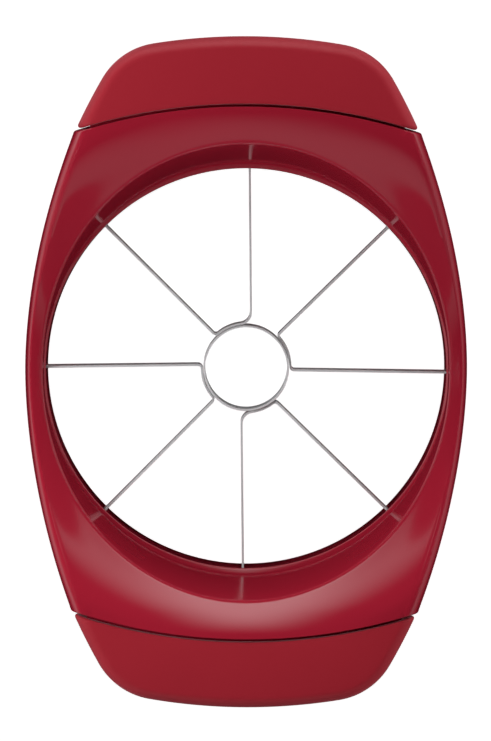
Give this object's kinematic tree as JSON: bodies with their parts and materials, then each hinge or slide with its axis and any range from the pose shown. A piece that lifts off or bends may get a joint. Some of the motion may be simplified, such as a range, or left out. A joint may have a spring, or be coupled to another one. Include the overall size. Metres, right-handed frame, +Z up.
{
  "type": "apple corer and slicer",
  "caption": "Oval kitchen fruit cutter pressed down by two end grips: thin blades run from a core ring to a round throat inside a raised saddle-shaped frame.",
  "frame": {"origin": "on the resting plane, in the middle of the throat", "axes": "+Z up, away from the resting plane; +Y from the throat to the rear grip; +X to the right of someone who faces +Y"},
  "size_m": [0.1114, 0.1686, 0.0425],
  "materials": {
    "gloss_red": "glossy deep red ABS",
    "soft_red": "matte soft-touch red",
    "blade_steel": "thin stainless strip, ground edge",
    "screw_steel": "plated self-tapping screw"
  },
  "bodies": {
    "root": {"upper_frame": "gloss_red", "lower_frame": "gloss_red", "rear_grip": "soft_red", "front_grip": "soft_red", "core_ring": "blade_steel", "blade_strip_east": "blade_steel", "blade_strip_south": "blade_steel", "blade_strip_west": "blade_steel", "blade_strip_north": "blade_steel", "frame_screw_1": "screw_steel", "frame_screw_2": "screw_steel", "frame_screw_3": "screw_steel", "frame_screw_4": "screw_steel"}
  },
  "joints": []
}
